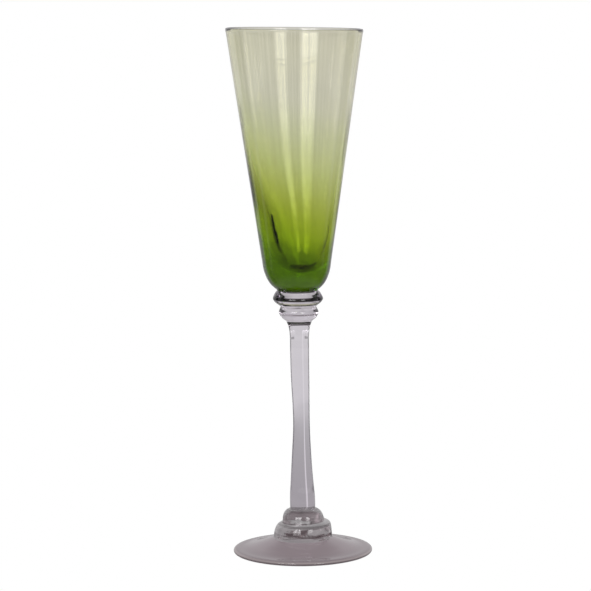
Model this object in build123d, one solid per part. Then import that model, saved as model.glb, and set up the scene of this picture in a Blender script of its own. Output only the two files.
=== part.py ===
from build123d import *
import math
import os

# A hand-blown champagne flute in cased glass: a tall conical bowl with a green layer inside a clear
# one, two pressed discs of clear glass (mereses), a drawn stem, two collars and a spread foot.
# Every piece was worked hot and fused to the next, so the pieces meet on flat circular joints.
# Millimetres, +Z up, origin at the centre of the foot on the surface it stands on.

# ---- heights of the joints, from the table up ----
FOOT_JOINT_Z = 7.0
COLLAR_JOINT_Z = 14.8
STEM_FOOT_Z = 21.1
STEM_TOP_Z = 110.8
MERESE_JOINT_Z = 118.9
BOWL_JOINT_Z = 126.7
HEIGHT = 250.5

# ---- radii of the joints ----
FOOT_JOINT_R = 14.1
COLLAR_JOINT_R = 10.2
STEM_FOOT_R = 6.0
STEM_TOP_R = 5.7
MERESE_JOINT_R = 8.45
BOWL_JOINT_R = 9.5

# ---- bowl ----
BOWL_HALF_ANGLE = 8.32
RIM_R = 32.4
LIP_DROP = 0.7
CASING_AT_RIM = 0.75
LINING_AT_RIM = 0.45
# middle of the rounded lip of the green layer, as shares of its wall and of the lip drop
LINING_LIP_MIDDLE = (0.25, 0.3)
CASING_HALF_ANGLE = 8.42
SHOULDER_Z = 137.2
LINING_FLOOR_Z = 128.2
LINING_FLOOR_R = 7.5
LINING_SHOULDER_Z = 137.6
CAVITY_FLOOR_Z = 136.5
CAVITY_DOME_R = 9.6
CAVITY_DOME_ANGLE = 20.0
# The green layer is thick where it was gathered first and thins as the bowl was blown out.
CAVITY_FLANK = [(14.3, 160.0), (19.2, 179.0), (23.0, 198.0), (26.4, 217.0)]

# ---- mereses, stem and collars: outlines as (radius, height), joint to joint ----
UPPER_MERESE = [(9.4, 119.8), (10.75, 120.8), (11.6, 121.8), (11.95, 122.6), (11.5, 124.1), (10.25, 126.1)]
LOWER_MERESE = [
    (5.95, 111.5),
    (6.6, 112.3),
    (7.9, 113.3),
    (8.8, 114.5),
    (9.4, 115.9),
    (9.35, 116.8),
    (8.85, 118.0),
]
STEM = [
    (6.03, 24.4),
    (5.6, 32.2),
    (4.6, 47.8),
    (3.99, 61.5),
    (4.06, 71.2),
    (4.37, 82.8),
    (4.54, 98.2),
    (4.63, 105.4),
    (5.05, 108.9),
]
UPPER_COLLAR = [(10.0, 15.6), (9.5, 17.9), (8.65, 19.55), (7.3, 20.65)]
LOWER_COLLAR = [(13.85, 9.4), (13.4, 12.0), (12.75, 13.6), (11.7, 14.4)]

# ---- foot ----
FOOT_R = 33.3
FOOT_EDGE_R = 0.95
FOOT_TOP = [(18.0, 5.5), (23.0, 3.75), (28.0, 2.45)]
FOOT_TOP_SLOPE = 21.0
FOOT_EDGE_SLOPE = 6.0
REST_INNER_R = 27.5
PONTIL_R = 7.0
PONTIL_EDGE_Z = 2.5
PONTIL_DEPTH = 0.45
HOLLOW_MIDDLE = (18.0, 1.5)


def cone_radius(rim_radius, half_angle, height):
    """Radius of a wall that leans out by half_angle and has rim_radius just below the lip."""
    return rim_radius - (HEIGHT - LIP_DROP - height) * math.tan(math.radians(half_angle))


def turned(*edges):
    """The solid made by turning a closed half-outline about the flute's axis."""
    return revolve(Plane.XZ * make_face(edges), Axis.Z, 360)


def disc_piece(flank, low_radius, low_z, high_radius, high_z):
    """A turned piece between two flat joints, with a smooth flank through the given points."""
    low = (low_radius, low_z)
    high = (high_radius, high_z)
    bottom = Line((0, low_z), low)
    side = Spline(low, *flank, high)
    top = Line(high, (0, high_z))
    axis = Line((0, high_z), (0, low_z))
    return turned(bottom, side, top, axis)


def outer_wall():
    """The bowl's outside: a round shoulder that runs tangent into the straight cone."""
    shoulder = (cone_radius(RIM_R, BOWL_HALF_ANGLE, SHOULDER_Z), SHOULDER_Z)
    cone = Line((RIM_R, HEIGHT - LIP_DROP), shoulder)
    base = TangentArc(shoulder, (BOWL_JOINT_R, BOWL_JOINT_Z), tangent=cone % 1)
    return cone, base


def layer_boundary():
    """Where the clear casing meets the green layer, from the lip down to the axis."""
    lip_r = RIM_R - CASING_AT_RIM
    shoulder = (cone_radius(lip_r, CASING_HALF_ANGLE, LINING_SHOULDER_Z), LINING_SHOULDER_Z)
    cone = Line((lip_r, HEIGHT), shoulder)
    base = TangentArc(shoulder, (LINING_FLOOR_R, LINING_FLOOR_Z), tangent=cone % 1)
    floor = Line((LINING_FLOOR_R, LINING_FLOOR_Z), (0, LINING_FLOOR_Z))
    return cone, base, floor


def bowl_casing():
    cone, base = outer_wall()
    inner_cone, inner_base, inner_floor = layer_boundary()
    lip_r = RIM_R - CASING_AT_RIM
    lip = TangentArc((RIM_R, HEIGHT - LIP_DROP), (lip_r, HEIGHT), tangent=(cone % 0) * -1)
    joint = Line((BOWL_JOINT_R, BOWL_JOINT_Z), (0, BOWL_JOINT_Z))
    axis = Line((0, BOWL_JOINT_Z), (0, LINING_FLOOR_Z))
    return turned(cone, base, joint, axis, inner_floor, inner_base, inner_cone, lip)


def bowl_colour_lining():
    cone, base, floor = layer_boundary()
    lip_r = RIM_R - CASING_AT_RIM
    inner_lip_r = lip_r - LINING_AT_RIM
    dome_centre_z = CAVITY_FLOOR_Z + CAVITY_DOME_R
    lean = math.radians(CAVITY_DOME_ANGLE)
    half_lean = math.radians((90 + CAVITY_DOME_ANGLE) / 2)
    dome_end = (CAVITY_DOME_R * math.cos(lean), dome_centre_z - CAVITY_DOME_R * math.sin(lean))
    dome_middle = (CAVITY_DOME_R * math.cos(half_lean), dome_centre_z - CAVITY_DOME_R * math.sin(half_lean))
    dome = ThreePointArc((0, CAVITY_FLOOR_Z), dome_middle, dome_end)
    rim_lean = math.radians(BOWL_HALF_ANGLE)
    flank_ends = [(math.sin(lean), math.cos(lean)), (math.sin(rim_lean), math.cos(rim_lean))]
    flank = Spline(dome_end, *CAVITY_FLANK, (inner_lip_r, HEIGHT - LIP_DROP), tangents=flank_ends)
    lip = ThreePointArc(
        (inner_lip_r, HEIGHT - LIP_DROP),
        (inner_lip_r + LINING_LIP_MIDDLE[0] * LINING_AT_RIM, HEIGHT - LINING_LIP_MIDDLE[1] * LIP_DROP),
        (lip_r, HEIGHT),
    )
    axis = Line((0, LINING_FLOOR_Z), (0, CAVITY_FLOOR_Z))
    return turned(cone, base, floor, axis, dome, flank, lip)


def upper_merese():
    return disc_piece(UPPER_MERESE, MERESE_JOINT_R, MERESE_JOINT_Z, BOWL_JOINT_R, BOWL_JOINT_Z)


def lower_merese():
    return disc_piece(LOWER_MERESE, STEM_TOP_R, STEM_TOP_Z, MERESE_JOINT_R, MERESE_JOINT_Z)


def stem():
    return disc_piece(STEM, STEM_FOOT_R, STEM_FOOT_Z, STEM_TOP_R, STEM_TOP_Z)


def foot_collar_upper():
    return disc_piece(UPPER_COLLAR, COLLAR_JOINT_R, COLLAR_JOINT_Z, STEM_FOOT_R, STEM_FOOT_Z)


def foot_collar_lower():
    return disc_piece(LOWER_COLLAR, FOOT_JOINT_R, FOOT_JOINT_Z, COLLAR_JOINT_R, COLLAR_JOINT_Z)


def foot():
    """A thin spread disc with a slightly hollow underside and a ground pontil mark at its centre."""
    rest_edge = (FOOT_R - FOOT_EDGE_R, 0)
    top_edge = (FOOT_R - FOOT_EDGE_R, 2 * FOOT_EDGE_R)
    joint = Line((0, FOOT_JOINT_Z), (FOOT_JOINT_R, FOOT_JOINT_Z))
    top_ends = []
    for slope in (FOOT_TOP_SLOPE, FOOT_EDGE_SLOPE):
        top_ends.append((math.cos(math.radians(slope)), -math.sin(math.radians(slope))))
    top = Spline((FOOT_JOINT_R, FOOT_JOINT_Z), *FOOT_TOP, top_edge, tangents=top_ends)
    edge = ThreePointArc(top_edge, (FOOT_R, FOOT_EDGE_R), rest_edge)
    rest = Line(rest_edge, (REST_INNER_R, 0))
    hollow = ThreePointArc((REST_INNER_R, 0), HOLLOW_MIDDLE, (PONTIL_R, PONTIL_EDGE_Z))
    grind_r = (PONTIL_R**2 + PONTIL_DEPTH**2) / (2 * PONTIL_DEPTH)
    grind_centre_z = PONTIL_EDGE_Z + PONTIL_DEPTH - grind_r
    pontil_middle = (PONTIL_R / 2, grind_centre_z + math.sqrt(grind_r**2 - PONTIL_R**2 / 4))
    pontil = ThreePointArc((PONTIL_R, PONTIL_EDGE_Z), pontil_middle, (0, PONTIL_EDGE_Z + PONTIL_DEPTH))
    axis = Line((0, PONTIL_EDGE_Z + PONTIL_DEPTH), (0, FOOT_JOINT_Z))
    return turned(joint, top, edge, rest, hollow, pontil, axis)


PIECES = [
    bowl_casing,
    bowl_colour_lining,
    upper_merese,
    lower_merese,
    stem,
    foot_collar_upper,
    foot_collar_lower,
    foot,
]

os.makedirs("parts", exist_ok=True)
for piece in PIECES:
    export_step(piece(), f"parts/{piece.__name__}.step")
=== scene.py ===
import math

import bpy
from bpy.props import FloatProperty, FloatVectorProperty, IntProperty, PointerProperty
from bpy.types import Operator, Panel, PropertyGroup
from mathutils import Matrix, Vector


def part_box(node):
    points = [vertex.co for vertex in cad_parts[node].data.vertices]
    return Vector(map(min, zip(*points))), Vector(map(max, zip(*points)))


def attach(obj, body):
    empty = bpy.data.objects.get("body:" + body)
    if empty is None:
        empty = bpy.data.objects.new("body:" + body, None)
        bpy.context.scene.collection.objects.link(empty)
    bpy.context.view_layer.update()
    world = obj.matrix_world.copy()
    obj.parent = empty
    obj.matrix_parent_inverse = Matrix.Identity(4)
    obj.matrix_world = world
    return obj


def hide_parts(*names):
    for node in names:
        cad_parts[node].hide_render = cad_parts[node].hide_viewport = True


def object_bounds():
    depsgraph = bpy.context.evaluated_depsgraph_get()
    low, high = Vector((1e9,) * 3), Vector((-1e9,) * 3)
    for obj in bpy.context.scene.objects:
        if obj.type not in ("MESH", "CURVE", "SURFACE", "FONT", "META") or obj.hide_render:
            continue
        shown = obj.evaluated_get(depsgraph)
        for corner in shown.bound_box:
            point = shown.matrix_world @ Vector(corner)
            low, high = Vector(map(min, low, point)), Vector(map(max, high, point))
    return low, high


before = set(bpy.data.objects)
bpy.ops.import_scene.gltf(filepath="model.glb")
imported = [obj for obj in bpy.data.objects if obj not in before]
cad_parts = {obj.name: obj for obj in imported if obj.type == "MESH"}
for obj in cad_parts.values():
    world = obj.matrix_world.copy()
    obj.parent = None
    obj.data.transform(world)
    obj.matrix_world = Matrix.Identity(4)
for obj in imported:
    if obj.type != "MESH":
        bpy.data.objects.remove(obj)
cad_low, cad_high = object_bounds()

bl_info = {
    "name": "Blown champagne flute",
    "version": (1, 0, 0),
    "blender": (4, 5, 0),
    "location": "3D View > Sidebar > Flute",
    "description": "Models a hand-blown champagne flute in cased green glass, piece by piece",
    "category": "Add Mesh",
}

MM = 0.001
CORNER = True
# fused pieces stand this far apart, so that each is a closed shape of its own
FUSE_GAP = 0.02 * MM
MERGE_WITHIN = 0.002 * MM
CRISP_ANGLE = math.radians(40)
GLASS_IOR = 1.5

# radii of the joints under the bowl and on the foot
BOWL_JOINT = 9.5 * MM
FOOT_JOINT = 14.1 * MM
# lean of the bowl's outside and of the boundary between its layers
OUTER_LEAN = math.radians(8.32)
LAYER_LEAN = math.radians(8.42)
# how far the outside stops below the rounded top of the lip
LIP_DROP = 0.7 * MM

# heights of the drawn lines' noise that count as the darkest and the clearest glass
LINES_DARK = 0.38
LINES_CLEAR = 0.62
# near-black colour of a streak of painted shade on the front left of the bowl
SHADE_STREAK_COLOUR = (0.02, 0.03, 0.004, 1)

# the studio
ROOM_TINT = (1.0, 0.985, 1.0)
# width of the camera's sensor, in millimetres
SENSOR_WIDTH = 36.0
NEAREST_SEEN = 0.05


def joint_heights(node):
    """The lowest and highest level of a node, in metres."""
    low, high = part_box(node)
    return low.z, high.z


def widest(node):
    """The largest radius of a node, in metres."""
    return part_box(node)[1].x


# ---------------------------------------------------------------- settings


class FluteShape(PropertyGroup):
    segments: IntProperty(
        name="Segments",
        description="Faces round each turned piece",
        default=160,
        min=32,
    )
    outline_steps: IntProperty(
        name="Outline steps",
        description="Faces between two knots of an outline",
        default=8,
        min=2,
    )
    casing_wall: FloatProperty(
        name="Clear wall at the lip",
        description="Thickness of the clear casing at the lip",
        default=0.75 * MM,
        unit="LENGTH",
        precision=5,
    )
    lining_wall: FloatProperty(
        name="Green wall at the lip",
        description="Thickness of the green layer at the lip",
        default=0.45 * MM,
        unit="LENGTH",
        precision=5,
    )
    bow: FloatProperty(
        name="Bow",
        description="How strongly the glass wanders off its axis, 1 for the hand-made amount",
        default=1.0,
        subtype="FACTOR",
    )
    lean: FloatProperty(
        name="Lean",
        description="How far the glass leans to its left",
        default=math.radians(0.5),
        subtype="ANGLE",
    )


class FluteColours(PropertyGroup):
    green: FloatVectorProperty(
        name="Green glass",
        description="Colour that the green layer lets through",
        default=(0.757, 0.843, 0.0),
        size=3,
        subtype="COLOR",
        min=0.0,
        max=1.0,
    )
    green_depth: FloatProperty(
        name="Green depth",
        description="Strength of the green glass, per metre",
        default=150.0,
        min=0.0,
    )
    smoke: FloatVectorProperty(
        name="Clear glass",
        description="Colour that the clear glass lets through",
        default=(0.9, 0.87, 0.92),
        size=3,
        subtype="COLOR",
        min=0.0,
        max=1.0,
    )
    foot_smoke: FloatVectorProperty(
        name="Foot glass",
        description="Colour that the foot and the collars let through",
        default=(0.8, 0.745, 0.765),
        size=3,
        subtype="COLOR",
        min=0.0,
        max=1.0,
    )


class FluteStage(PropertyGroup):
    view_distance: FloatProperty(
        name="View distance",
        description="Distance of the camera from the flute",
        default=1.202,
        unit="LENGTH",
    )
    view_drop: FloatProperty(
        name="View pitch",
        description="How far the camera looks down",
        default=math.radians(7.097),
        subtype="ANGLE",
    )
    view_roll: FloatProperty(
        name="View roll",
        description="How far the camera is rolled",
        default=math.radians(0.5),
        subtype="ANGLE",
    )
    lens: FloatProperty(
        name="Lens",
        description="Focal length of the camera, in millimetres on a 36 mm sensor",
        default=155.1,
    )
    light_bounces: IntProperty(
        name="Light bounces",
        description="How many times light may turn inside the glass",
        default=32,
        min=4,
    )
    floor_size: FloatProperty(
        name="Floor",
        description="Side of the square floor",
        default=8.0,
        unit="LENGTH",
    )


# ---------------------------------------------------------------- modelling by hand


def clear_selection():
    if bpy.context.mode != "OBJECT":
        bpy.ops.object.mode_set(mode="OBJECT")
    bpy.ops.object.select_all(action="DESELECT")


def pick(*objects):
    clear_selection()
    for item in objects:
        item.select_set(True)
    bpy.context.view_layer.objects.active = objects[0]


def draw_outline(knots):
    """A curve through (radius, height, corner) knots, smooth except at the corners."""
    clear_selection()
    bpy.ops.curve.primitive_bezier_curve_add(location=(0, 0, 0))
    outline = bpy.context.object
    spline = outline.data.splines[0]
    spline.bezier_points.add(len(knots) - 2)
    for point, (radius, height, *corner) in zip(spline.bezier_points, knots):
        point.co = (radius, 0, height)
        kind = "VECTOR" if corner else "AUTO"
        point.handle_left_type = kind
        point.handle_right_type = kind
    outline.data.resolution_u = bpy.context.scene.flute_shape.outline_steps
    bpy.ops.object.convert(target="MESH")
    return bpy.context.object


def turn(knots, fused=0.0):
    """Spins an outline round the axis. Faces that are fused to a neighbour carry the mark 1."""
    shell = draw_outline(knots)
    bpy.ops.object.mode_set(mode="EDIT")
    bpy.ops.mesh.select_all(action="SELECT")
    bpy.ops.mesh.spin(
        steps=bpy.context.scene.flute_shape.segments,
        angle=math.tau,
        center=(0, 0, 0),
        axis=(0, 0, 1),
    )
    bpy.ops.mesh.select_all(action="SELECT")
    bpy.ops.mesh.remove_doubles(threshold=MERGE_WITHIN)
    bpy.ops.object.mode_set(mode="OBJECT")
    mark = shell.data.attributes.new("fused", "FLOAT", "FACE")
    mark.data.foreach_set("value", [fused] * len(shell.data.polygons))
    return shell


def close_piece(name, shells):
    """Joins turned shells into one closed piece with true outward faces and crisp joint rims."""
    pick(*shells)
    bpy.ops.object.join()
    piece = bpy.context.object
    piece.name = name
    piece.data.name = name
    bpy.ops.object.mode_set(mode="EDIT")
    bpy.ops.mesh.select_all(action="SELECT")
    bpy.ops.mesh.remove_doubles(threshold=MERGE_WITHIN)
    bpy.ops.mesh.normals_make_consistent(inside=False)
    bpy.ops.object.mode_set(mode="OBJECT")
    bpy.ops.object.shade_smooth_by_angle(angle=CRISP_ANGLE)
    marks = piece.data.attributes["fused"].data
    for face, mark in zip(piece.data.polygons, marks):
        face.select = mark.value > 0.5
    bpy.ops.object.mode_set(mode="EDIT")
    bpy.ops.mesh.select_mode(type="FACE")
    bpy.ops.mesh.region_to_loop()
    bpy.ops.mesh.mark_sharp()
    bpy.ops.mesh.select_all(action="DESELECT")
    bpy.ops.object.mode_set(mode="OBJECT")
    return piece


def disc_between_joints(name, node, flank):
    """A turned piece with a flat joint at each end; flank knots are shares of the node's size."""
    low, high = joint_heights(node)
    reach = widest(node)
    low += FUSE_GAP / 2
    high -= FUSE_GAP / 2
    knots = [(share * reach, low + up * (high - low), *corner) for share, up, *corner in flank]
    bottom = [(0, low, CORNER), (knots[0][0], low, CORNER)]
    top = [(knots[-1][0], high, CORNER), (0, high, CORNER)]
    return close_piece(name, [turn(knots), turn(bottom, 1.0), turn(top, 1.0)])


def make_lattice(name, low, high, half_width, levels):
    """A lattice between two heights; each level is (sideways shift, rise of its right side)."""
    clear_selection()
    bpy.ops.object.add(type="LATTICE", location=(0, 0, (low + high) / 2))
    cage = bpy.context.object
    cage.name = name
    size = Vector((half_width * 2, half_width * 2, high - low))
    cage.scale = size
    cage.data.points_u = 2
    cage.data.points_v = 2
    cage.data.points_w = len(levels)
    cage.data.interpolation_type_u = "KEY_LINEAR"
    cage.data.interpolation_type_v = "KEY_LINEAR"
    points_per_level = 4
    for index, point in enumerate(cage.data.points):
        shift, rise = levels[index // points_per_level]
        side = 1 if point.co.x > 0 else -1
        point.co_deform = point.co + Vector((shift / size.x, 0, side * rise / size.z))


def bend_with(piece, lattice_name):
    pick(piece)
    bend = piece.modifiers.new("bend", "LATTICE")
    bend.object = bpy.data.objects[lattice_name]
    bpy.ops.object.modifier_apply(modifier="bend")


def finish_piece(piece, node, material):
    bend_with(piece, "hand_lattice")
    piece.data.materials.clear()
    piece.data.materials.append(material)
    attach(piece, "root")
    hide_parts(node)
    clear_selection()


# ---------------------------------------------------------------- materials


class NodeTable:
    """Short ways to lay out nodes."""

    def __init__(self, tree):
        self.nodes = tree.nodes
        self.links = tree.links
        self.nodes.clear()

    def join(self, value, socket):
        if isinstance(value, bpy.types.NodeSocket):
            self.links.new(value, socket)
        else:
            socket.default_value = value

    def add(self, kind, **inputs):
        node = self.nodes.new(kind)
        for label, value in inputs.items():
            self.join(value, node.inputs[label.replace("_", " ")])
        return node

    def math(self, operation, *values):
        node = self.nodes.new("ShaderNodeMath")
        node.operation = operation
        for socket, value in zip(node.inputs, values):
            self.join(value, socket)
        return node.outputs[0]

    def vector(self, operation, *values):
        node = self.nodes.new("ShaderNodeVectorMath")
        node.operation = operation
        for socket, value in zip(node.inputs, values):
            self.join(value, socket)
        return node.outputs["Vector"]

    def scaled(self, vector, amount):
        node = self.nodes.new("ShaderNodeVectorMath")
        node.operation = "SCALE"
        self.join(vector, node.inputs[0])
        self.join(amount, node.inputs["Scale"])
        return node.outputs["Vector"]

    def ramp(self, value, low, high, start=0.0, end=1.0):
        """Goes softly from start to end as the value goes from low to high."""
        node = self.nodes.new("ShaderNodeMapRange")
        node.interpolation_type = "SMOOTHSTEP"
        self.join(value, node.inputs["Value"])
        self.join(low, node.inputs["From Min"])
        self.join(high, node.inputs["From Max"])
        self.join(start, node.inputs["To Min"])
        self.join(end, node.inputs["To Max"])
        return node.outputs["Result"]

    def window(self, value, low, high, soft):
        """1 between low and high, with soft edges."""
        rise = self.ramp(value, low - soft, low + soft)
        fall = self.ramp(value, high - soft, high + soft, 1.0, 0.0)
        return self.math("MULTIPLY", rise, fall)

    def sector(self, angle, low, high, soft):
        """1 between two angles in degrees, for an angle in radians."""
        return self.window(angle, math.radians(low), math.radians(high), soft)

    def both(self, first, second):
        return self.math("MULTIPLY", first, second)

    def mix(self, factor, start, end):
        part = self.math("MULTIPLY", factor, self.math("SUBTRACT", end, start))
        return self.math("ADD", start, part)

    def white_to_camera(self, shader_kind, level, tint, output_kind):
        """White to the camera itself, the tinted level to all that the glass gathers."""
        gathered = self.add(shader_kind, Color=self.scaled(tint, level))
        seen = self.add(shader_kind, Color=(1, 1, 1, 1))
        ray = self.nodes.new("ShaderNodeLightPath")
        choose = self.nodes.new("ShaderNodeMixShader")
        self.join(ray.outputs["Is Camera Ray"], choose.inputs["Fac"])
        self.links.new(gathered.outputs[0], choose.inputs[1])
        self.links.new(seen.outputs[0], choose.inputs[2])
        out = self.nodes.new(output_kind)
        self.links.new(choose.outputs[0], out.inputs["Surface"])


def new_group(name, inputs, outputs):
    """An empty group with its sockets: the table to fill it with, its entry and its way out."""
    group = bpy.data.node_groups.new(name, "ShaderNodeTree")
    for label, kind, value in inputs:
        socket = group.interface.new_socket(label, in_out="INPUT", socket_type=kind)
        if value is not None:
            socket.default_value = value
    for label, kind in outputs:
        group.interface.new_socket(label, in_out="OUTPUT", socket_type=kind)
    table = NodeTable(group)
    return group, table, table.nodes.new("NodeGroupInput"), table.nodes.new("NodeGroupOutput")


def drawn_lines_group():
    """Fine lines drawn down the glass as it was pulled and blown: a height for bump."""
    group, table, entry, leave = new_group(
        "drawn_lines",
        [
            ("Vector", "NodeSocketVector", None),
            ("Round", "NodeSocketFloat", 9.0),
            ("Along", "NodeSocketFloat", 6.0),
            ("Fineness", "NodeSocketFloat", 3.0),
        ],
        [("Height", "NodeSocketFloat")],
    )
    flat = table.vector("MULTIPLY", entry.outputs["Vector"], (1, 1, 0))
    outward = table.vector("NORMALIZE", flat)
    round_it = table.scaled(outward, entry.outputs["Round"])
    split = table.add("ShaderNodeSeparateXYZ", Vector=entry.outputs["Vector"])
    rise = table.math("MULTIPLY", split.outputs["Z"], entry.outputs["Along"])
    lift = table.add("ShaderNodeCombineXYZ", Z=rise)
    place = table.vector("ADD", round_it, lift.outputs["Vector"])
    noise = table.add("ShaderNodeTexNoise", Scale=1.0, Detail=entry.outputs["Fineness"], Vector=place)
    table.join(noise.outputs["Fac"], leave.inputs["Height"])
    return group


def level_group():
    """How far up a piece a point lies, 0 to 1, on levels that may dip to one side."""
    group, table, entry, leave = new_group(
        "level_in_piece",
        [
            ("Vector", "NodeSocketVector", None),
            ("Low", "NodeSocketFloat", 0.0),
            ("High", "NodeSocketFloat", 1.0),
            ("Dip", "NodeSocketFloat", 0.0),
        ],
        [("Fac", "NodeSocketFloat")],
    )
    split = table.add("ShaderNodeSeparateXYZ", Vector=entry.outputs["Vector"])
    across, up = split.outputs["X"], split.outputs["Z"]
    dipped = table.math("MULTIPLY_ADD", across, entry.outputs["Dip"], up)
    level = table.nodes.new("ShaderNodeMapRange")
    table.join(dipped, level.inputs["Value"])
    table.join(entry.outputs["Low"], level.inputs["From Min"])
    table.join(entry.outputs["High"], level.inputs["From Max"])
    table.join(level.outputs["Result"], leave.inputs["Fac"])
    return group


def shade_streak_group():
    """1 on a short streak of painted shade that runs down the front left of the bowl, 0 elsewhere."""
    group, table, entry, leave = new_group(
        "painted_shade_streak", [("Vector", "NodeSocketVector", None)], [("Fac", "NodeSocketFloat")]
    )
    split = table.add("ShaderNodeSeparateXYZ", Vector=entry.outputs["Vector"])
    across, depth, up = split.outputs["X"], split.outputs["Y"], split.outputs["Z"]
    front = table.ramp(depth, 0.0, -1 * MM)
    # each stroke, in millimetres: side at its foot, lean, foot, head, half width
    stroke_rows = (
        (-11.36, -0.186, 154.1, 164.3, 0.42),
        (-10.4, -0.164, 150.6, 156.5, 0.45),
    )
    side_softness = 0.2
    end_softness = 0.8
    strokes = None
    for side, lean, foot, head, half in stroke_rows:
        middle = table.math("MULTIPLY_ADD", up, lean, (side - lean * foot) * MM)
        off = table.math("ABSOLUTE", table.math("SUBTRACT", across, middle))
        line = table.ramp(off, (half + side_softness) * MM, (half - side_softness) * MM)
        ends = table.window(up, foot * MM, head * MM, end_softness * MM)
        stroke = table.both(line, ends)
        strokes = stroke if strokes is None else table.math("MAXIMUM", strokes, stroke)
    table.join(table.both(strokes, front), leave.inputs["Fac"])
    return group


def shared_group(maker, name):
    """The group of that name, made the first time that a material asks for it."""
    return bpy.data.node_groups.get(name) or maker()


def add_group(nodes, group, values):
    node = nodes.new("ShaderNodeGroup")
    node.node_tree = group
    for label, value in values.items():
        node.inputs[label].default_value = value
    return node


def between(nodes, start, end, low=0.0, high=1.0):
    """A node that goes evenly from start to end as its value goes from low to high."""
    node = nodes.new("ShaderNodeMapRange")
    node.inputs["From Min"].default_value = low
    node.inputs["From Max"].default_value = high
    node.inputs["To Min"].default_value = start
    node.inputs["To Max"].default_value = end
    return node


def glass(
    name, node, tints_and_painted_light, depth_colour, depth, lines, bump, dip=0.0, joint_share=0.58, grain=0.0
):
    """Blown glass: tinted by level, with bands of painted shade and painted reflection in some
    pieces' tints, darker by depth, with drawn lines, and no shine at fused joints.

    Each tint is (level in the piece, red, green, blue) and gives the glass's colour, in some pieces a
    band of painted light, and the levels dip to the right by dip.
    The glass itself takes depth_colour at a strength of depth per metre. The drawn lines stand
    bump high and darken the tint by up to grain. A fused joint carries joint_share of the tint.
    """
    material = bpy.data.materials.new(name)
    material.use_nodes = True
    nodes, links = material.node_tree.nodes, material.node_tree.links
    shader = nodes["Principled BSDF"]
    shader.inputs["Transmission Weight"].default_value = 1.0
    shader.inputs["Roughness"].default_value = 0.0
    where = nodes.new("ShaderNodeTexCoord")

    low, high = joint_heights(node)
    levels = {"Low": low, "High": high, "Dip": dip}
    level = add_group(nodes, shared_group(level_group, "level_in_piece"), levels)
    links.new(where.outputs["Object"], level.inputs["Vector"])
    # the tint by level; in the mereses, collars, foot and stem it holds painted shade, and in the
    # upper merese a painted reflection
    tint = nodes.new("ShaderNodeValToRGB")
    stops = tint.color_ramp.elements
    stops[0].position = tints_and_painted_light[0][0]
    stops[1].position = tints_and_painted_light[-1][0]
    for place, *_ in tints_and_painted_light[1:-1]:
        stops.new(place)
    for stop, (_, *colour) in zip(stops, tints_and_painted_light):
        stop.color = (*colour, 1)
    links.new(level.outputs["Fac"], tint.inputs["Fac"])
    fused = nodes.new("ShaderNodeAttribute")
    fused.attribute_name = "fused"
    share = between(nodes, 1.0, joint_share)
    links.new(fused.outputs["Fac"], share.inputs["Value"])
    strength = nodes.new("ShaderNodeGamma")
    links.new(tint.outputs["Color"], strength.inputs["Color"])
    links.new(share.outputs["Result"], strength.inputs["Gamma"])

    streaks = add_group(nodes, shared_group(drawn_lines_group, "drawn_lines"), lines)
    links.new(where.outputs["Object"], streaks.inputs["Vector"])
    shade = between(nodes, 1.0 - grain, 1.0, LINES_DARK, LINES_CLEAR)
    links.new(streaks.outputs["Height"], shade.inputs["Value"])
    shaded = nodes.new("ShaderNodeVectorMath")
    shaded.operation = "SCALE"
    links.new(strength.outputs["Color"], shaded.inputs[0])
    links.new(shade.outputs["Result"], shaded.inputs["Scale"])
    links.new(shaded.outputs[0], shader.inputs["Base Color"])
    ripple = nodes.new("ShaderNodeBump")
    ripple.inputs["Strength"].default_value = 1.0
    ripple.inputs["Distance"].default_value = bump
    links.new(streaks.outputs["Height"], ripple.inputs["Height"])
    links.new(ripple.outputs["Normal"], shader.inputs["Normal"])

    bend = between(nodes, GLASS_IOR, 1.0)
    links.new(fused.outputs["Fac"], bend.inputs["Value"])
    links.new(bend.outputs["Result"], shader.inputs["IOR"])

    inside = nodes.new("ShaderNodeVolumeAbsorption")
    inside.inputs["Color"].default_value = (*depth_colour, 1)
    inside.inputs["Density"].default_value = depth
    links.new(inside.outputs["Volume"], nodes["Material Output"].inputs["Volume"])
    return material


def paint_shade_streak(material):
    """Lays a streak of painted shade over the tint of a finished glass."""
    nodes, links = material.node_tree.nodes, material.node_tree.links
    colour = nodes["Principled BSDF"].inputs["Base Color"]
    shade_streak = add_group(nodes, shared_group(shade_streak_group, "painted_shade_streak"), {})
    where = nodes.new("ShaderNodeTexCoord")
    links.new(where.outputs["Object"], shade_streak.inputs["Vector"])
    darken = nodes.new("ShaderNodeMix")
    darken.data_type = "RGBA"
    # a colour mix takes its factor on socket 0 and its colours on 6 and 7, and gives its result on 2
    links.new(shade_streak.outputs["Fac"], darken.inputs[0])
    links.new(colour.links[0].from_socket, darken.inputs[6])
    darken.inputs[7].default_value = SHADE_STREAK_COLOUR
    links.new(darken.outputs[2], colour)


# ---------------------------------------------------------------- pieces


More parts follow.
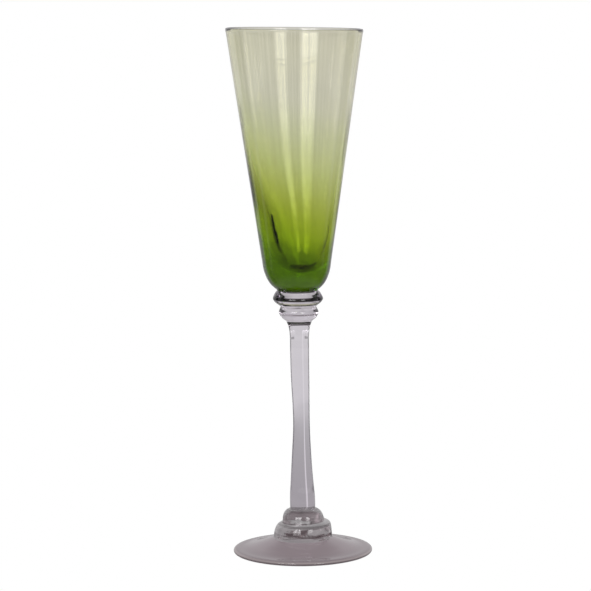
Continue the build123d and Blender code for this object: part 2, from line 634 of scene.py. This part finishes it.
class FLUTE_OT_lattice(Operator):
    """Set up the lattice that gives every piece the same hand-made lean and bow"""

    bl_idname = "flute.lattice"
    bl_label = "Hand-made wander"

    def execute(self, context):
        shape = context.scene.flute_shape
        # sideways wander at equal steps up the glass and the rise of its right side, in millimetres
        wander = [0, 0.3, 0.3, 0.1, 0.2, 0.45, 0.3, 0.05, 0.1, 0.2, -0.4]
        wander += [-0.6, -0.45, -0.35, -0.25, -0.2, -0.1, -0.05, 0.05, 0.1, 0.2]
        rises = {0: -0.07, 1: 0.35, len(wander) - 2: -0.3, len(wander) - 1: -0.65}
        top = len(wander) - 1
        lean = math.tan(shape.lean) * cad_high.z
        levels = []
        for level, shift in enumerate(wander):
            across = shape.bow * shift * MM - lean * level / top
            levels.append((across, shape.bow * rises.get(level, 0.0) * MM))
        make_lattice("hand_lattice", 0.0, cad_high.z, cad_high.x, levels)
        # the hollow of the bowl was blown a little off centre, most of all at its floor
        floor_z = joint_heights("bowl_colour_lining")[0]
        off_centre = [1.9, 1.9, 1.8, 1.5, 1.0, 0.55, 0.25, 0.12, 0.05, 0.0, 0.0, 0.0, 0.0]
        levels = [(shape.bow * shift * MM, 0.0) for shift in off_centre]
        make_lattice("hollow_lattice", floor_z, cad_high.z, cad_high.x, levels)
        clear_selection()
        return {"FINISHED"}


class FLUTE_OT_bowl(Operator):
    """Blow the bowl: a clear casing over a green layer that thins towards the lip"""

    bl_idname = "flute.bowl"
    bl_label = "Bowl"

    def execute(self, context):
        shape = context.scene.flute_shape
        colours = context.scene.flute_colours
        foot_z, lip_z = joint_heights("bowl_casing")
        floor_z, _ = joint_heights("bowl_colour_lining")
        rim = widest("bowl_casing")
        base = foot_z + FUSE_GAP / 2
        layer_rim = rim - shape.casing_wall
        inner_rim = layer_rim - shape.lining_wall
        half_gap = FUSE_GAP / 2

        def up(millimetres):
            return foot_z + millimetres * MM

        def outer(height):
            """Radius of the outside at a height."""
            return rim - (lip_z - LIP_DROP - height) * math.tan(OUTER_LEAN)

        def layer(height):
            """Radius of the boundary between the layers at a height."""
            return layer_rim - (lip_z - LIP_DROP - height) * math.tan(LAYER_LEAN)

        def offset(outline, side, end):
            """The outline moved half a gap to one side of the boundary, with a given last knot."""
            moved = []
            for radius, height, *corner in outline[:-1]:
                across = side * half_gap if radius > 0 else 0
                moved.append((radius + across, height - side * half_gap, *corner))
            return moved + [end]

        outside = [
            (BOWL_JOINT, base, CORNER),
            (10.9 * MM, up(1.2)),
            (12.7 * MM, up(3.0)),
            (14.1 * MM, up(5.2)),
            (15.2 * MM, up(7.8)),
            (outer(up(10.5)), up(10.5)),
            (outer(up(13.5)), up(13.5)),
            (outer(up(60)), up(60)),
            (outer(up(100)), up(100)),
            (outer(lip_z - 3 * MM), lip_z - 3 * MM),
            (rim, lip_z - LIP_DROP),
            (rim - 0.15 * MM, lip_z - 0.2 * MM),
            (layer_rim + half_gap, lip_z, CORNER),
        ]
        boundary = [
            (0, floor_z),
            (7.5 * MM, floor_z + 0.1 * MM),
            (10.2 * MM, floor_z + 1.5 * MM),
            (12.8 * MM, floor_z + 4.2 * MM),
            (14.3 * MM, floor_z + 7.6 * MM),
            (layer(floor_z + 11 * MM), floor_z + 11 * MM),
            (layer(up(60)), up(60)),
            (layer(up(100)), up(100)),
            (layer_rim, lip_z, CORNER),
        ]
        cavity = [
            (0, up(9.8)),
            (3.4 * MM, up(10.4)),
            (6.6 * MM, up(12.4)),
            (9.0 * MM, up(16.1)),
            (14.3 * MM, up(33.3)),
            (19.2 * MM, up(52.3)),
            (23.0 * MM, up(71.3)),
            (26.4 * MM, up(90.3)),
            (inner_rim - 0.5 * MM, lip_z - 3 * MM),
            (inner_rim, lip_z - LIP_DROP),
            (inner_rim + 0.1 * MM, lip_z - 0.2 * MM),
            (layer_rim - half_gap, lip_z, CORNER),
        ]
        joint = [(0, base, CORNER), (BOWL_JOINT, base, CORNER)]
        casing_inside = offset(boundary, 1, (layer_rim + half_gap, lip_z, CORNER))
        lining_outside = offset(boundary, -1, (layer_rim - half_gap, lip_z, CORNER))

        shells = [turn(outside), turn(casing_inside, 1.0), turn(joint, 1.0)]
        casing = close_piece("bowl_clear_casing", shells)
        hollow = turn(cavity)
        bend_with(hollow, "hollow_lattice")
        lining = close_piece("bowl_green_lining", [hollow, turn(lining_outside, 1.0)])
        clear = glass(
            "clear_casing_glass",
            "bowl_casing",
            [
                (0.04, 0.358, 0.479, 0.055),
                (0.07, 0.435, 0.563, 0.070),
                (0.10, 0.435, 0.552, 0.078),
                (0.1325, 0.601, 0.727, 0.104),
                (0.193, 0.663, 0.757, 0.184),
                (0.269, 0.736, 0.800, 0.311),
                (0.345, 0.798, 0.842, 0.453),
                (0.421, 0.857, 0.895, 0.586),
                (0.496, 0.906, 0.932, 0.690),
                (0.572, 0.938, 0.957, 0.778),
                (0.724, 0.993, 0.987, 0.883),
                (1.0, 1.0, 0.981, 0.897),
            ],
            depth_colour=tuple(colours.smoke),
            depth=30.0,
            lines={"Round": 52.0, "Along": 5.0, "Fineness": 1.0},
            bump=0.015 * MM,
            dip=0.35,
            grain=0.055,
        )
        # paints a dark streak of shade down the front left of the casing
        paint_shade_streak(clear)
        green = glass(
            "green_lining_glass",
            "bowl_colour_lining",
            [(0.0, 0.9, 0.95, 0.85), (0.3, 1, 1, 1)],
            depth_colour=tuple(colours.green),
            depth=colours.green_depth,
            lines={"Round": 28.0, "Along": 4.0, "Fineness": 1.2},
            bump=0.01 * MM,
        )
        finish_piece(casing, "bowl_casing", clear)
        finish_piece(lining, "bowl_colour_lining", green)
        return {"FINISHED"}


class FLUTE_OT_mereses(Operator):
    """Press the two discs of clear glass between the bowl and the stem"""

    bl_idname = "flute.mereses"
    bl_label = "Mereses"

    def execute(self, context):
        colours = context.scene.flute_colours
        upper = [
            (0.7065, 0, CORNER),
            (0.786, 0.115),
            (0.899, 0.244),
            (0.97, 0.372),
            (0.999, 0.474),
            (0.9615, 0.667),
            (0.857, 0.923),
            (0.794, 1, CORNER),
        ]
        lower = [
            (0.605, 0, CORNER),
            (0.632, 0.086),
            (0.7, 0.185),
            (0.839, 0.309),
            (0.934, 0.457),
            (0.998, 0.63),
            (0.993, 0.741),
            (0.9395, 0.889),
            (0.897, 1, CORNER),
        ]
        # the upper merese's tints hold painted light: a greenish band of painted reflection of the
        # bowl at 0.17 to 0.3 and a near-black band of painted shade at 0.46 to 0.64
        upper_tints_and_painted_light = [
            (0.0, 0.95, 0.93, 0.94),
            (0.12, 0.97, 0.95, 0.95),
            (0.17, 0.6, 0.61, 0.34),
            (0.3, 0.66, 0.68, 0.38),
            (0.35, 1, 0.985, 0.99),
            (0.43, 1, 0.985, 0.99),
            (0.46, 0.01, 0.008, 0.008),
            (0.64, 0.01, 0.008, 0.008),
            (0.67, 1, 0.985, 0.99),
        ]
        # the lower merese's tints hold bands of painted shade: near black up to 0.05 where it meets
        # the stem, darker at 0.55 to 0.62 and towards its top
        lower_tints_and_painted_light = [
            (0.0, 0.1, 0.09, 0.09),
            (0.05, 0.1, 0.09, 0.09),
            (0.09, 0.98, 0.96, 0.98),
            (0.52, 0.98, 0.96, 0.98),
            (0.55, 0.45, 0.42, 0.43),
            (0.62, 0.45, 0.42, 0.43),
            (0.66, 0.98, 0.96, 0.98),
            (0.92, 1, 0.985, 0.99),
            (0.98, 0.75, 0.72, 0.72),
        ]
        discs = (
            ("merese_upper", "upper_merese", upper, upper_tints_and_painted_light),
            ("merese_lower", "lower_merese", lower, lower_tints_and_painted_light),
        )
        for name, node, flank, tints_and_painted_light in discs:
            clear = glass(
                f"{name}_glass",
                node,
                tints_and_painted_light,
                depth_colour=tuple(colours.smoke),
                depth=60.0,
                lines={"Round": 1.5, "Along": 330.0, "Fineness": 1.0},
                bump=0.22 * MM,
                grain=0.22,
            )
            finish_piece(disc_between_joints(name, node, flank), node, clear)
        return {"FINISHED"}


class FLUTE_OT_stem(Operator):
    """Draw the stem, waisted near its middle and flared into its two joints"""

    bl_idname = "flute.stem"
    bl_label = "Stem"

    def execute(self, context):
        colours = context.scene.flute_colours
        flank = [
            (0.993, 0, CORNER),
            (0.998, 0.037),
            (0.982, 0.08),
            (0.927, 0.124),
            (0.762, 0.298),
            (0.661, 0.45),
            (0.672, 0.5585),
            (0.7235, 0.688),
            (0.752, 0.8595),
            (0.767, 0.94),
            (0.836, 0.979),
            (0.944, 1, CORNER),
        ]
        stem = disc_between_joints("drawn_stem", "stem", flank)
        clear = glass(
            "stem_glass",
            "stem",
            # the stem's tint darkens slightly towards the foot: painted shade
            [(0.0, 0.93, 0.89, 0.93), (0.45, 0.97, 0.95, 0.98), (1.0, 1, 0.985, 1)],
            depth_colour=tuple(colours.smoke),
            depth=60.0,
            lines={"Round": 3.0, "Along": 8.0},
            bump=0.05 * MM,
        )
        finish_piece(stem, "stem", clear)
        return {"FINISHED"}


class FLUTE_OT_collars(Operator):
    """Build up the two collars that the stem stands in"""

    bl_idname = "flute.collars"
    bl_label = "Foot collars"

    def execute(self, context):
        colours = context.scene.flute_colours
        upper = [
            (1.0, 0, CORNER),
            (0.98, 0.127),
            (0.931, 0.492),
            (0.848, 0.754),
            (0.716, 0.929),
            (0.588, 1, CORNER),
        ]
        lower = [
            (1.0, 0, CORNER),
            (0.982, 0.308),
            (0.95, 0.641),
            (0.904, 0.846),
            (0.83, 0.949),
            (0.723, 1, CORNER),
        ]
        # the upper collar's tint darkens above 0.8 into painted shade at its top
        upper_tints_and_painted_light = [
            (0.0, 0.96, 0.96, 0.96),
            (0.8, 0.98, 0.975, 0.975),
            (0.9, 0.6, 0.59, 0.59),
        ]
        # the lower collar's tints hold two bands of painted shade, at 0.3 to 0.36 and at 0.83 to 0.92
        lower_tints_and_painted_light = [
            (0.0, 0.96, 0.95, 0.95),
            (0.24, 0.97, 0.965, 0.965),
            (0.3, 0.6, 0.58, 0.585),
            (0.36, 0.6, 0.58, 0.585),
            (0.42, 0.98, 0.975, 0.975),
            (0.78, 0.98, 0.975, 0.975),
            (0.83, 0.34, 0.32, 0.325),
            (0.92, 0.34, 0.32, 0.325),
            (0.97, 0.97, 0.965, 0.965),
        ]
        # the lower collar is tooled a little out of true
        low = joint_heights("foot_collar_lower")[0]
        high = joint_heights("foot_collar_upper")[1]
        levels = [(0, 0), (0, 0), (0.4 * MM, 1.0 * MM), (0, 0), (0, 0)]
        make_lattice("collar_lattice", low, high, widest("foot_collar_lower"), levels)
        rings = (
            ("collar_upper", "foot_collar_upper", upper, upper_tints_and_painted_light),
            ("collar_lower", "foot_collar_lower", lower, lower_tints_and_painted_light),
        )
        for name, node, flank, tints_and_painted_light in rings:
            clear = glass(
                f"{name}_glass",
                node,
                tints_and_painted_light,
                depth_colour=tuple(colours.foot_smoke),
                depth=20.0,
                lines={"Round": 1.6, "Along": 420.0, "Fineness": 0.6},
                bump=0.22 * MM,
                grain=0.22,
            )
            ring = disc_between_joints(name, node, flank)
            bend_with(ring, "collar_lattice")
            finish_piece(ring, node, clear)
        return {"FINISHED"}


class FLUTE_OT_foot(Operator):
    """Spread the foot, hollow below, and grind its pontil mark"""

    bl_idname = "flute.foot"
    bl_label = "Foot"

    def execute(self, context):
        colours = context.scene.flute_colours
        _, joint_z = joint_heights("foot")
        joint_z -= FUSE_GAP / 2
        reach = widest("foot")
        rest_edge = reach - 1.1 * MM
        skin = [
            (FOOT_JOINT, joint_z, CORNER),
            (18.0 * MM, 5.5 * MM),
            (23.0 * MM, 3.75 * MM),
            (28.0 * MM, 2.45 * MM),
            (reach - 0.9 * MM, 1.9 * MM),
            (reach - 0.2 * MM, 1.5 * MM),
            (reach, 0.95 * MM),
            (reach - 0.25 * MM, 0.35 * MM),
            (rest_edge, 0, CORNER),
        ]
        underside = [
            (rest_edge, 0, CORNER),
            (29.0 * MM, 0),
            (26.0 * MM, 0.25 * MM),
            (18.0 * MM, 1.5 * MM),
            (10.0 * MM, 2.35 * MM),
            (7.0 * MM, 2.5 * MM, CORNER),
            (3.5 * MM, 2.84 * MM),
            (0, 2.95 * MM),
        ]
        joint = [(0, joint_z, CORNER), (FOOT_JOINT, joint_z, CORNER)]
        foot = close_piece("spread_foot", [turn(skin), turn(underside, 1.0), turn(joint, 1.0)])
        clear = glass(
            "foot_glass",
            "foot",
            [
                # towards the rim the tint is painted shade: near black up to 0.15 and dark again at
                # 0.28, with a paler band between; above it the foot's grey-mauve tint lightens
                # towards the joint
                (0.0, 0.11, 0.076, 0.083),
                (0.15, 0.11, 0.076, 0.083),
                (0.19, 0.6, 0.46, 0.47),
                (0.24, 0.6, 0.46, 0.47),
                (0.28, 0.28, 0.2, 0.225),
                (0.5, 0.4, 0.285, 0.32),
                (1.0, 0.44, 0.32, 0.36),
            ],
            depth_colour=tuple(colours.foot_smoke),
            depth=30.0,
            lines={"Round": 2.0, "Along": 60.0, "Fineness": 0.5},
            bump=0.03 * MM,
            joint_share=0.0,
        )
        finish_piece(foot, "foot", clear)
        return {"FINISHED"}


# ---------------------------------------------------------------- stage


def studio_floor():
    """A pale floor. What the glass gathers from it is a room's grey, darkened near the foot by a
    painted shadow.
    """
    material = bpy.data.materials.new("pale_floor")
    material.use_nodes = True
    table = NodeTable(material.node_tree)
    where = table.nodes.new("ShaderNodeTexCoord").outputs["Object"]
    far = table.nodes.new("ShaderNodeVectorMath")
    far.operation = "LENGTH"
    table.join(where, far.inputs[0])
    distance = far.outputs["Value"]
    split = table.add("ShaderNodeSeparateXYZ", Vector=where)
    depth = split.outputs["Y"]
    # angles go round from straight behind the glass
    around = table.math("ARCTAN2", split.outputs["X"], depth)
    turned = table.math("ABSOLUTE", around)

    # the grey near the foot is a painted shadow
    near_shadow_grey, room_grey = 0.42, 0.66
    level = table.mix(table.ramp(distance, 0.12, 0.62), near_shadow_grey, room_grey)
    ahead = table.ramp(depth, 0.12, -0.02)
    bench_front = table.both(ahead, table.window(distance, 0.16, 0.8, 0.05))
    gleam_behind = table.sector(around, -16, -11, 0.02)
    side_flags = table.both(table.sector(turned, 55, 80, 0.06), table.ramp(distance, 0.1, 0.2))
    far_shade = table.window(distance, 0.9, 1.25, 0.06)
    far_shade = table.both(table.sector(turned, 24, 50, 0.06), far_shade)
    near_shade = table.window(distance, 0.045, 0.085, 0.008)
    near_shade = table.both(table.sector(turned, 25, 75, 0.08), near_shade)
    patches = (
        (bench_front, 0.17),
        (gleam_behind, 0.74),
        (side_flags, 0.14),
        (far_shade, 0.34),
        (near_shade, 0.16),
    )
    for patch, grey in patches:
        level = table.mix(patch, level, grey)
    table.white_to_camera("ShaderNodeEmission", level, ROOM_TINT, "ShaderNodeOutputMaterial")
    return material


def studio_world():
    """White behind the glass, and for all that it gathers a soft room with two tall windows."""
    world = bpy.data.worlds.new("studio")
    bpy.context.scene.world = world
    world.use_nodes = True
    table = NodeTable(world.node_tree)
    way = table.nodes.new("ShaderNodeTexCoord").outputs["Generated"]
    split = table.add("ShaderNodeSeparateXYZ", Vector=way)
    across, depth, rise = split.outputs["X"], split.outputs["Y"], split.outputs["Z"]
    # angles go round from straight in front of the glass
    azimuth = table.math("ARCTAN2", across, table.math("MULTIPLY", depth, -1.0))
    turned = table.math("ABSOLUTE", azimuth)

    wall_grey, dark_grey, flag_grey = 0.66, 0.12, 0.08
    front_wall = table.both(table.ramp(depth, 0.3, -0.3), table.ramp(rise, 0.03, 0.1))
    level = table.mix(front_wall, wall_grey, dark_grey)
    ceiling = table.ramp(rise, 0.45, 0.75)
    level = table.mix(ceiling, level, dark_grey)
    side_flags = table.sector(turned, 105, 122, 0.06)
    level = table.mix(side_flags, level, flag_grey)

    bar_strength = 0.5
    bar = table.sector(azimuth, -29, -25, 0.02)
    past_bar = table.math("SUBTRACT", 1.0, table.both(bar, bar_strength))
    top_to_bottom = table.window(rise, 0.12, 0.55, 0.06)
    brighter_up = table.ramp(rise, 0.2, 0.38, 1.0, 2.6)
    # each window: its left and right side, and its power
    for left, right, power in ((-43, -12, 3.4), (16, 36, 2.7)):
        window = table.both(table.sector(azimuth, left, right, 0.07), past_bar)
        window = table.both(table.both(window, top_to_bottom), brighter_up)
        level = table.math("ADD", level, table.both(window, power))
    table.white_to_camera("ShaderNodeBackground", level, ROOM_TINT, "ShaderNodeOutputWorld")


class FLUTE_OT_stage(Operator):
    """Lay the floor, light the studio and place the camera"""

    bl_idname = "flute.stage"
    bl_label = "Stage"

    def execute(self, context):
        scene = context.scene
        stage = scene.flute_stage
        clear_selection()
        bpy.ops.mesh.primitive_plane_add(size=stage.floor_size, location=(0, 0, 0))
        floor = context.object
        floor.name = "studio_floor"
        floor.data.materials.append(studio_floor())
        studio_world()

        camera_left = 2.48 * MM
        camera_above = 23.2 * MM
        bpy.ops.object.camera_add(location=(0, 0, 0))
        camera = context.object
        camera.name = "studio_camera"
        camera.data.lens = stage.lens
        camera.data.sensor_width = SENSOR_WIDTH
        camera.data.clip_start = NEAREST_SEEN
        pitch = Matrix.Rotation(math.radians(90) - stage.view_drop, 4, "X")
        roll = Matrix.Rotation(-stage.view_roll, 4, "Z")
        stand = (-camera_left, -stage.view_distance, cad_high.z + camera_above)
        place = Matrix.Translation(stand)
        camera.matrix_world = place @ pitch @ roll
        scene.camera = camera
        scene.view_settings.view_transform = "Standard"
        # light turns many times inside thick glass before it leaves
        scene.cycles.max_bounces = stage.light_bounces
        scene.cycles.glossy_bounces = stage.light_bounces
        scene.cycles.transmission_bounces = stage.light_bounces
        scene.cycles.transparent_max_bounces = stage.light_bounces
        clear_selection()
        return {"FINISHED"}


# ---------------------------------------------------------------- panel


class FLUTE_PT_pieces(Panel):
    """Every step of making the flute, in order"""

    bl_idname = "FLUTE_PT_pieces"
    bl_label = "Champagne flute"
    bl_space_type = "VIEW_3D"
    bl_region_type = "UI"
    bl_category = "Flute"

    def draw(self, context):
        layout = self.layout
        for group in SETTINGS:
            settings = getattr(context.scene, group)
            box = layout.box()
            for name in settings.__annotations__:
                box.prop(settings, name)
        for step in STEPS:
            layout.operator(step.bl_idname)


STEPS = (
    FLUTE_OT_lattice,
    FLUTE_OT_bowl,
    FLUTE_OT_mereses,
    FLUTE_OT_stem,
    FLUTE_OT_collars,
    FLUTE_OT_foot,
    FLUTE_OT_stage,
)
SETTINGS = {"flute_shape": FluteShape, "flute_colours": FluteColours, "flute_stage": FluteStage}


def register():
    for settings in SETTINGS.values():
        bpy.utils.register_class(settings)
    for name, settings in SETTINGS.items():
        setattr(bpy.types.Scene, name, PointerProperty(type=settings))
    for step in STEPS:
        bpy.utils.register_class(step)
    bpy.utils.register_class(FLUTE_PT_pieces)


def unregister():
    bpy.utils.unregister_class(FLUTE_PT_pieces)
    for step in reversed(STEPS):
        bpy.utils.unregister_class(step)
    for name in SETTINGS:
        delattr(bpy.types.Scene, name)
    for settings in reversed(list(SETTINGS.values())):
        bpy.utils.unregister_class(settings)


def main():
    register()
    bpy.ops.flute.lattice()
    bpy.ops.flute.bowl()
    bpy.ops.flute.mereses()
    bpy.ops.flute.stem()
    bpy.ops.flute.collars()
    bpy.ops.flute.foot()
    for name in ("hand_lattice", "hollow_lattice", "collar_lattice"):
        bpy.data.objects.remove(bpy.data.objects[name])
    bpy.ops.flute.stage()


if __name__ == "__main__":
    main()
